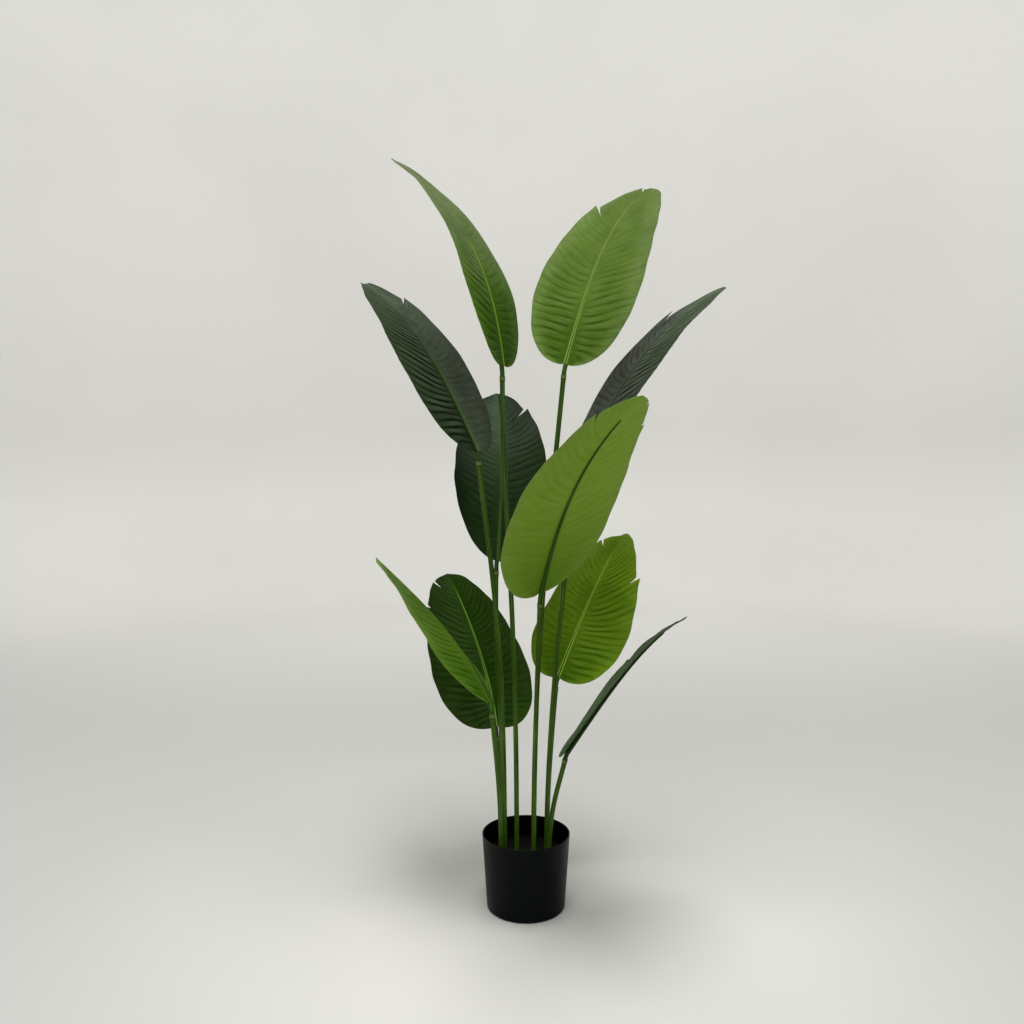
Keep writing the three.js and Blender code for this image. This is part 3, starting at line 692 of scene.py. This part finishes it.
class Surface:
    """A node material, with short calls for the nodes that the finishes use."""

    def __init__(self, name):
        self.material = bpy.data.materials.new(name)
        self.material.use_nodes = True
        self.nodes = self.material.node_tree.nodes
        self.links = self.material.node_tree.links
        self.shader = self.nodes["Principled BSDF"]

    def put(self, socket, value):
        if isinstance(value, bpy.types.NodeSocket):
            self.links.new(value, socket)
        else:
            socket.default_value = value

    def attribute(self, name):
        node = self.nodes.new("ShaderNodeAttribute")
        node.attribute_name = name
        return node.outputs["Fac"]

    def math(self, operation, a, b=0.0, clamp=False):
        node = self.nodes.new("ShaderNodeMath")
        node.operation = operation
        node.use_clamp = clamp
        self.put(node.inputs[0], a)
        self.put(node.inputs[1], b)
        return node.outputs[0]

    def times(self, a, b, clamp=False):
        return self.math("MULTIPLY", a, b, clamp)

    def span(self, value, low, high, at_low=0.0, at_high=1.0):
        """Smooth step between two values."""
        node = self.nodes.new("ShaderNodeMapRange")
        node.interpolation_type = "SMOOTHSTEP"
        self.put(node.inputs["Value"], value)
        node.inputs["From Min"].default_value = low
        node.inputs["From Max"].default_value = high
        node.inputs["To Min"].default_value = at_low
        node.inputs["To Max"].default_value = at_high
        return node.outputs["Result"]

    def blend(self, share, first, second):
        node = self.nodes.new("ShaderNodeMix")
        node.data_type = "RGBA"
        self.put(node.inputs["Factor"], share)
        self.put(node.inputs[6], first)
        self.put(node.inputs[7], second)
        return node.outputs[2]

    def layered(self, colour, layers):
        """Blends tints over a colour, each where its pattern's smooth step says."""
        for pattern, low, high, at_low, at_high, tint in layers:
            colour = self.blend(self.span(pattern, low, high, at_low, at_high), colour, tint)
        return colour

    def scaled(self, colour, factor):
        node = self.nodes.new("ShaderNodeVectorMath")
        node.operation = "SCALE"
        self.put(node.inputs[0], colour)
        self.put(node.inputs["Scale"], factor)
        return node.outputs[0]

    def place(self):
        return self.nodes.new("ShaderNodeTexCoord").outputs["Object"]

    def combine(self, x, y, z):
        node = self.nodes.new("ShaderNodeCombineXYZ")
        for socket, value in zip(node.inputs, (x, y, z)):
            self.put(socket, value)
        return node.outputs[0]

    def noise(self, vector, scale, detail=3.0, roughness=0.5):
        node = self.nodes.new("ShaderNodeTexNoise")
        self.put(node.inputs["Vector"], vector)
        node.inputs["Scale"].default_value = scale
        node.inputs["Detail"].default_value = detail
        node.inputs["Roughness"].default_value = roughness
        return node.outputs["Fac"]

    def streaks(self, along, outward, fine, coarse):
        """Noise drawn out along the veins of a blade."""
        stretched = self.combine(self.times(along, fine), self.times(outward, coarse), 0.0)
        return self.noise(stretched, 1.0, 2.0)

    def bump(self, height, strength, distance):
        node = self.nodes.new("ShaderNodeBump")
        node.inputs["Strength"].default_value = strength
        node.inputs["Distance"].default_value = distance
        self.put(node.inputs["Height"], height)
        self.put(self.shader.inputs["Normal"], node.outputs["Normal"])

    def finish(self, colour, roughness, specular=0.5):
        self.put(self.shader.inputs["Base Color"], colour)
        self.put(self.shader.inputs["Roughness"], roughness)
        self.shader.inputs["Specular IOR Level"].default_value = specular
        return self.material


def with_midrib_line(s, colour, along, tone):
    """Prints the line over the midrib, light or dark, with painted shade in the groove of a dark one."""
    off_rib, line, lined = (s.attribute(key) for key in ("off_rib", "line", "lined"))
    dark, light = (linear(*value) for value in tone["line"])
    wider = s.times(s.math("SUBTRACT", 1.0, along), PRINTED_LINE["wider"])
    across = s.math("DIVIDE", off_rib, s.math("ADD", wider, PRINTED_LINE["tip"]))
    on_line = s.times(s.span(across, 0.7, 1.3, 0.85, 0.0), lined)
    colour = s.blend(on_line, colour, s.blend(line, dark, light))
    # Painted shade in the groove where the line is dark.
    groove_shade = s.times(s.span(across, 0.1, 0.45, 0.7, 0.0), s.math("SUBTRACT", 1.0, line))
    return s.blend(s.times(groove_shade, lined), colour, dark)


def blade_material(name, tone):
    """Printed cloth streaked by veins; painted shade at the base, painted sheen on rims, crests and halves.
    """
    s = Surface(name)
    along, outward, underside = (s.attribute(key) for key in ("along", "outward", "underside"))
    valley, crest, painted_sheen = (s.attribute(key) for key in ("valley", "crest", "painted_sheen"))
    deep, body, pale = (linear(*tone[key]) for key in ("deep", "body", "pale"))
    under_body, under_deep = (linear(*tone[key]) for key in ("under", "under_deep"))

    place = s.place()
    mottle = s.noise(place, 26.0, 4.0, 0.6)
    clouds = s.noise(place, 11.0, 3.0, 0.6)
    threads = s.streaks(along, outward, 620.0, 2.0)
    veinlets = s.streaks(along, outward, 170.0, 1.5)

    # Painted shade near the base, strongest by the midrib.
    shadow = s.times(s.span(along, 0.0, 0.5, 1.0, 0.0), s.span(outward, 0.4, 1.0, 1.0, 0.15))
    # Painted sheen: pale at the margin, on the pleat crests and over each half.
    rim = s.span(outward, 0.55, 1.0, 0.0, tone["rim"])
    light = s.math("MAXIMUM", rim, s.times(crest, tone["crest"]))
    light = s.times(s.math("ADD", light, painted_sheen, clamp=True), s.span(clouds, 0.3, 0.6, 0.7, 1.0))
    upper = s.blend(light, s.blend(shadow, body, deep), pale)
    upper = s.layered(upper, [
        (clouds, 0.42, 0.7, 0.0, 0.4, deep),
        (mottle, 0.35, 0.75, 0.0, 0.25, deep),
        (veinlets, 0.45, 0.7, 0.0, 0.3, deep),
        (threads, 0.45, 0.7, 0.0, 0.2, pale),
    ])
    # Darker in the creases, as printed veins and painted shade.
    upper = s.blend(s.times(valley, tone["valley"], clamp=True), upper, deep)
    upper = with_midrib_line(s, upper, along, tone)

    # Underside: its own paler colour made brighter as painted light shining through, darker in the creases
    # as printed veins and painted shade, painted shade near the base and painted sheen at the margin.
    under = s.blend(s.times(valley, 0.9), under_body, under_deep)
    under = s.blend(s.times(shadow, 0.8), under, under_deep)
    under = s.layered(under, [
        (threads, 0.4, 0.7, 0.0, 0.3, pale),
        (outward, 0.8, 1.0, 0.0, tone["rim"], pale),
        (veinlets, 0.45, 0.7, 0.0, 0.35, under_deep),
        (mottle, 0.35, 0.75, 0.0, 0.2, under_deep),
    ])

    # Scaled by each leaf's own tone with its painted light and shade.
    colour = s.scaled(s.blend(underside, upper, under), s.attribute("tone_and_painted_light"))
    s.bump(s.math("ADD", threads, s.times(mottle, 0.5)), 0.15, 0.0005)
    return s.finish(colour, s.span(mottle, 0.3, 0.7, *tone["rough"]), tone["gloss"])


def rod_material(name, dark, body, light, socket_glint=None):
    """Moulded plastic with lengthwise streaks; a stem ends in a painted highlight above a dark ring."""
    s = Surface(name)
    turn, run, to_end = (s.attribute(key) for key in ("turn", "run", "to_end"))
    dark, body, light = linear(*dark), linear(*body), linear(*light)
    mirrored = s.math("ABSOLUTE", s.math("SUBTRACT", turn, 0.5))
    streaks = s.noise(s.combine(s.times(mirrored, 14.0), s.times(run, 0.006), 0.0), 1.0, 3.0)
    patches = s.noise(s.place(), 12.0, 2.0)
    colour = s.layered(dark, [
        (streaks, 0.35, 0.62, 0.0, 1.0, body),
        (streaks, 0.56, 0.7, 0.0, 1.0, light),
        (patches, 0.4, 0.7, 0.0, 0.4, dark),
    ])
    # The paler socket is a painted highlight; the stem darkens upwards and has dark rings at the shoulder
    # and the mouth.
    if socket_glint:
        colour = s.layered(colour, [
            (run, 250.0, 800.0, 0.0, 0.6, dark),
            (to_end, 10.0, 11.5, 0.8, 0.0, dark),
            (to_end, 8.0, 9.0, 0.35, 0.0, linear(*socket_glint)),
            (to_end, 1.5, 3.5, 0.8, 0.0, dark),
        ])
    s.bump(streaks, 0.25, 0.0005)
    return s.finish(colour, s.span(patches, 0.3, 0.7, 0.4, 0.52), 0.12)


def pot_material():
    """Satin black plastic, faintly worn."""
    s = Surface("pot_black_plastic")
    place = s.place()
    grain = s.noise(place, 900.0, 2.0)
    wear = s.noise(place, 22.0, 4.0, 0.6)
    colour = s.blend(s.span(wear, 0.4, 0.75), linear(0, 3, 4), linear(3, 7, 8))
    s.bump(s.math("ADD", s.times(grain, 0.5), s.times(wear, 0.6)), 0.12, 0.0004)
    return s.finish(colour, s.span(wear, 0.3, 0.8, 0.36, 0.48), 0.08)


def fill_material():
    """Dull black cement with crumbs."""
    s = Surface("fill_black_cement")
    crumbs = s.noise(s.place(), 240.0, 5.0, 0.7)
    colour = s.blend(s.span(crumbs, 0.4, 0.75), linear(1, 2, 2), linear(11, 12, 12))
    s.bump(crumbs, 0.6, 0.0012)
    return s.finish(colour, s.span(crumbs, 0.3, 0.7, 0.7, 0.9), 0.15)


def backdrop_material():
    """Pale matt paint; painted light on the floor by the pot, painted shade further out and at the room's
    front.
    """
    s = Surface("pale_backdrop")
    place = s.place()
    split = s.nodes.new("ShaderNodeSeparateXYZ")
    s.put(split.inputs[0], place)
    x, y, z = split.outputs
    radius = s.math("SQRT", s.math("ADD", s.times(x, x), s.times(y, y)))
    tone = s.noise(place, 0.9, 2.0)
    pale = s.blend(s.span(tone, 0.3, 0.7), linear(216, 216, 213), linear(212, 212, 209))
    # Painted shade: the wall greys towards the front of the room.
    wall = s.blend(s.span(y, -2.6, 0.2), linear(158, 158, 155), pale)
    # Painted light on the floor round the pot, turning to painted shade further out.
    floor = s.blend(s.span(radius, 0.0, 1.1), linear(208, 208, 205), linear(181, 181, 179))
    on_wall = s.math("MAXIMUM", s.span(y, 0.9, 3.2), s.span(z, 0.0, 0.6))
    return s.finish(s.blend(on_wall, floor, wall), 0.5, 0.2)


def stand_in(piece, node):
    """A finished piece rides on the body and stands for its solid, which it hides."""
    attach(piece, "root")
    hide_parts(node)


def dress():
    """Every finished piece of the plant and its pot."""
    blades = {name: blade_material(f"blade_{name}_green", tone) for name, tone in TONES.items()}
    stems = rod_material("stem_green_plastic", (34, 58, 8), (68, 98, 22), (106, 138, 54), (132, 146, 82))
    ribs = {
        "leaf_light_green": rod_material("rib_on_light", (26, 60, 2), (50, 88, 8), (96, 130, 40)),
        "leaf_dark_green": rod_material("rib_on_dark", (16, 40, 4), (36, 66, 14), (84, 116, 44)),
    }
    for leaf in PLANTS:
        name, slot = leaf["name"], TONES[leaf["tone"]]["slot"]
        midrib = midrib_of(leaf)
        stand_in(blade_mesh(leaf, midrib, blades[leaf["tone"]]), f"leaf_{name}")
        stand_in(rib_mesh(leaf, midrib, ribs[slot]), f"leaf_{name}")
        stand_in(stem_mesh(leaf, stems), f"stem_{name}")
    pot = lathe_mesh("pot_shell", pot_profile(), POT_MESH["sides"], pot_material())
    stand_in(pot, "pot")
    stand_in(fill_mesh(fill_material()), "fill")


def backdrop():
    """Plain pale floor that turns up into a wall all round."""
    flat, turn = BACKDROP["flat"], BACKDROP["turn"]
    profile = [(r, 0) for r in np.linspace(BACKDROP["middle"], flat, BACKDROP_MESH["floor_rings"])]
    profile += arc(flat, turn, turn, -90, 0, BACKDROP_MESH["turn_rings"])[1:]
    profile += [(flat + turn, BACKDROP["top"])]
    floor = lathe_mesh("floor", profile, BACKDROP_MESH["sides"], backdrop_material(), last_cap=False)


def soft_light(name, place, target, size, watts, tint):
    light = bpy.data.lights.new(name, "AREA")
    light.shape = "RECTANGLE"
    light.size, light.size_y = size
    light.energy = watts
    light.color = tint
    lamp = bpy.data.objects.new(name, light)
    bpy.context.scene.collection.objects.link(lamp)
    lamp.location = place
    lamp.rotation_mode = "QUATERNION"
    lamp.rotation_quaternion = Vector(np.subtract(target, place)).to_track_quat("-Z", "Y")


def lights():
    world = bpy.data.worlds.new("room")
    world.use_nodes = True
    room = world.node_tree.nodes["Background"]
    room.inputs["Color"].default_value = ROOM_LIGHT["colour"]
    room.inputs["Strength"].default_value = ROOM_LIGHT["strength"]
    bpy.context.scene.world = world
    for name, values in SOFT_LIGHTS.items():
        soft_light(name, *values)


def camera():
    data = bpy.data.cameras.new("camera")
    data.sensor_width = SENSOR_MM
    data.lens = FOCAL_PIXELS / FRAME_PIXELS * SENSOR_MM
    lens = bpy.data.objects.new("camera", data)
    lens.location = CAMERA_AT
    lens.rotation_euler = (math.radians(90 - CAMERA_PITCH), 0, 0)
    bpy.context.scene.collection.objects.link(lens)
    bpy.context.scene.camera = lens


camera()
dress()
backdrop()
lights()
bpy.context.scene.view_settings.view_transform = "Standard"
